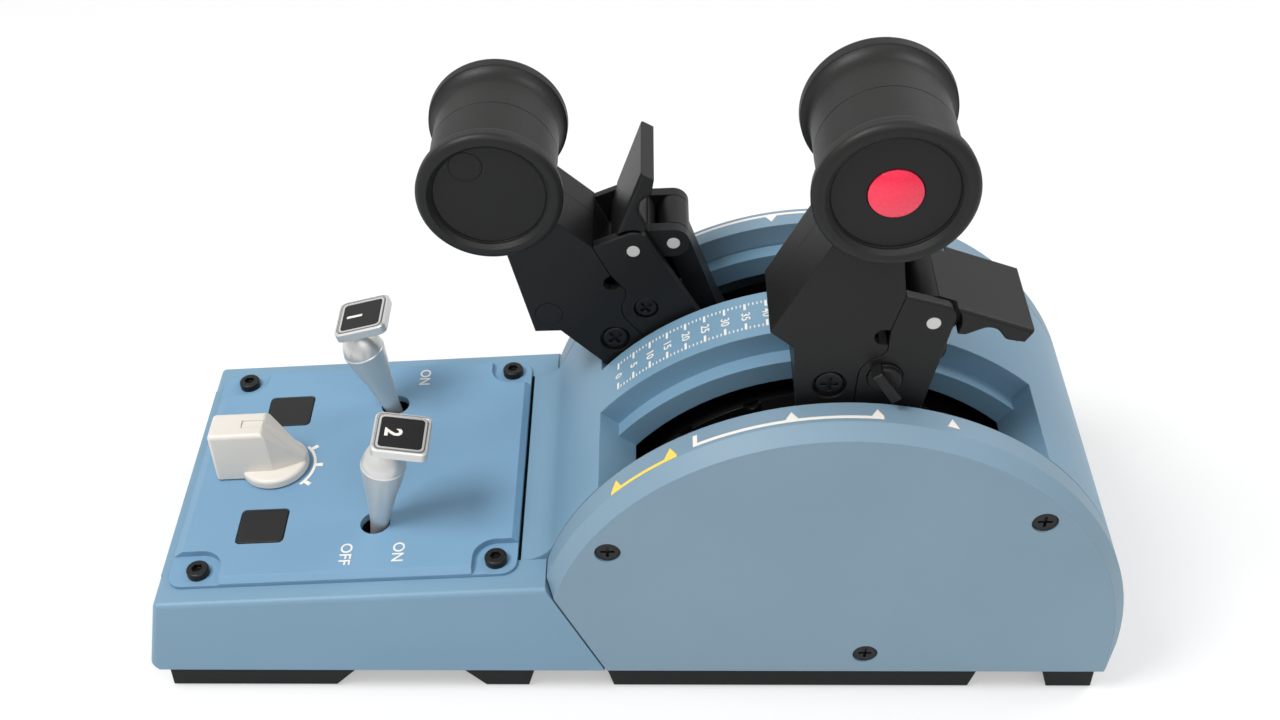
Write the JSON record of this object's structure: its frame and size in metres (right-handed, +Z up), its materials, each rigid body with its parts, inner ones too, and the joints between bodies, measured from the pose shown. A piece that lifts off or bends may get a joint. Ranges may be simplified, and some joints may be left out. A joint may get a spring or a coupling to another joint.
{
  "type": "throttle quadrant",
  "caption": "Desktop aircraft throttle quadrant: thrust levers with lift-up reverser paddles over a domed housing, beside a switch panel with toggles, push keys and a mode selector.",
  "frame": {"origin": "centre of the footprint, on the surface the quadrant stands on", "axes": "+X forward, away from the pilot; +Y to the pilot's left; +Z up"},
  "size_m": [0.2452, 0.09, 0.1668],
  "materials": {
    "blue_paint": "satin, fine-textured",
    "black_plastic": "satin, fine-textured",
    "black_rubber": "matte",
    "black_steel": "black oxide",
    "ivory_plastic": "smooth",
    "satin_silver": "satin",
    "red_plastic": "gloss",
    "bright_steel": "brushed",
    "white_nylon": "smooth",
    "button_plastic": "smooth",
    "board_green": "smooth"
  },
  "bodies": {
    "housing": {"hood": "blue_paint", "right_cover": "blue_paint", "left_cover": "blue_paint", "cover_screws": "black_steel", "base_plate": "black_plastic", "foot_pads": "black_rubber", "base_screws": "black_steel", "panel_plate": "blue_paint", "panel_screws": "black_steel", "panel_switches": "black_plastic", "circuit_board": "board_green", "right_frame": "black_plastic", "left_frame": "black_plastic", "centre_frame": "black_plastic", "detent_plates": "bright_steel", "washers": "white_nylon", "axle": "bright_steel", "usb_socket": "black_plastic"},
    "button_1": {"button_1": "button_plastic"},
    "button_2": {"button_2": "button_plastic"},
    "toggle_1": {"toggle_1": "satin_silver"},
    "toggle_2": {"toggle_2": "satin_silver"},
    "mode_selector": {"mode_knob": "ivory_plastic", "mode_shaft": "bright_steel"},
    "lever_1": {"lever_1_arm": "black_plastic", "lever_1_right_shell": "black_plastic", "lever_1_left_shell": "black_plastic", "lever_1_right_plate": "black_plastic", "lever_1_left_plate": "black_plastic", "lever_1_screws": "black_steel", "lever_1_detent_roller": "bright_steel", "lever_1_paddle_pin": "white_nylon", "lever_1_knob_right": "black_plastic", "lever_1_knob_left": "black_plastic", "lever_1_disc_right": "black_plastic", "lever_1_disc_left": "black_plastic", "lever_1_blank_plugs": "black_plastic"},
    "paddle_1": {"lever_1_paddle": "black_plastic", "lever_1_strut_pin": "white_nylon"},
    "strut_1": {"lever_1_strut": "black_plastic"},
    "red_button_1": {"lever_1_red_button": "red_plastic"},
    "twist_lock_1": {"lever_1_twist_lock": "black_plastic"},
    "lever_2": {"lever_2_arm": "black_plastic", "lever_2_right_shell": "black_plastic", "lever_2_left_shell": "black_plastic", "lever_2_right_plate": "black_plastic", "lever_2_left_plate": "black_plastic", "lever_2_screws": "black_steel", "lever_2_detent_roller": "bright_steel", "lever_2_paddle_pin": "white_nylon", "lever_2_knob_right": "black_plastic", "lever_2_knob_left": "black_plastic", "lever_2_disc_right": "black_plastic", "lever_2_disc_left": "black_plastic", "lever_2_blank_plugs": "black_plastic"},
    "paddle_2": {"lever_2_paddle": "black_plastic", "lever_2_strut_pin": "white_nylon"},
    "strut_2": {"lever_2_strut": "black_plastic"},
    "red_button_2": {"lever_2_red_button": "red_plastic"},
    "twist_lock_2": {"lever_2_twist_lock": "black_plastic"}
  },
  "joints": [
    {"name": "lever_1_tilt", "type": "hinge", "parent": "housing", "child": "lever_1", "pos_m": [0.0491, 0.0212, 0.0175], "axis": [0, 1, 0], "range_deg": [-0.6, 64.9]},
    {"name": "paddle_1_lift", "type": "hinge", "parent": "lever_1", "child": "paddle_1", "pos_m": [-0.00021, 0.0212, 0.10043], "axis": [0, -1, 0], "range_deg": [-50.3, 0]},
    {"name": "strut_1_swing", "type": "hinge", "parent": "paddle_1", "child": "strut_1", "pos_m": [0.00962, 0.0212, 0.10092], "axis": [0, -1, 0], "range_deg": [0, 60.36]},
    {"name": "red_button_1_press", "type": "slide", "parent": "lever_1", "child": "red_button_1", "axis": [0, -1, 0], "range_m": [0, 0.0015], "stiffness_N_per_m": 400, "springref_m": -0.0005},
    {"name": "twist_lock_1_turn", "type": "hinge", "parent": "lever_1", "child": "twist_lock_1", "pos_m": [0.003, 0.0212, 0.08259], "axis": [0, -1, 0], "range_deg": [0, 90]},
    {"name": "lever_2_tilt", "type": "hinge", "parent": "housing", "child": "lever_2", "pos_m": [0.0491, -0.0212, 0.0175], "axis": [0, 1, 0], "range_deg": [-41.3, 24.2]},
    {"name": "paddle_2_lift", "type": "hinge", "parent": "lever_2", "child": "paddle_2", "pos_m": [0.06579, -0.0212, 0.11252], "axis": [0, -1, 0], "range_deg": [0, 50.3]},
    {"name": "strut_2_swing", "type": "hinge", "parent": "paddle_2", "child": "strut_2", "pos_m": [0.06612, -0.0212, 0.10269], "axis": [0, -1, 0], "range_deg": [-60.36, 0]},
    {"name": "red_button_2_press", "type": "slide", "parent": "lever_2", "child": "red_button_2", "axis": [0, 1, 0], "range_m": [0, 0.0015], "stiffness_N_per_m": 400, "springref_m": -0.0005},
    {"name": "twist_lock_2_turn", "type": "hinge", "parent": "lever_2", "child": "twist_lock_2", "pos_m": [0.0566, -0.0212, 0.0969], "axis": [0, -1, 0], "range_deg": [0, 90]},
    {"name": "button_1_press", "type": "slide", "parent": "housing", "child": "button_1", "axis": [0.0649, 0, -0.9979], "range_m": [0, 0.001], "stiffness_N_per_m": 300, "springref_m": -0.0005},
    {"name": "toggle_1_flip", "type": "hinge", "parent": "housing", "child": "toggle_1", "pos_m": [-0.06515, 0.0223, 0.03334], "axis": [0, 1, 0], "range_deg": [0, 24]},
    {"name": "button_2_press", "type": "slide", "parent": "housing", "child": "button_2", "axis": [0.0649, 0, -0.9979], "range_m": [0, 0.001], "stiffness_N_per_m": 300, "springref_m": -0.0005},
    {"name": "toggle_2_flip", "type": "hinge", "parent": "housing", "child": "toggle_2", "pos_m": [-0.06515, -0.0223, 0.03334], "axis": [0, 1, 0], "range_deg": [-24, 0]},
    {"name": "mode_selector_turn", "type": "hinge", "parent": "housing", "child": "mode_selector", "pos_m": [-0.09452, 0, 0.03644], "axis": [-0.0649, 0, 0.9979], "range_deg": [-36, 36]}
  ],
  "couplings": [
    {"joint": "strut_1_swing", "follows": "paddle_1_lift", "ratio": -1.2},
    {"joint": "strut_2_swing", "follows": "paddle_2_lift", "ratio": -1.2}
  ]
}
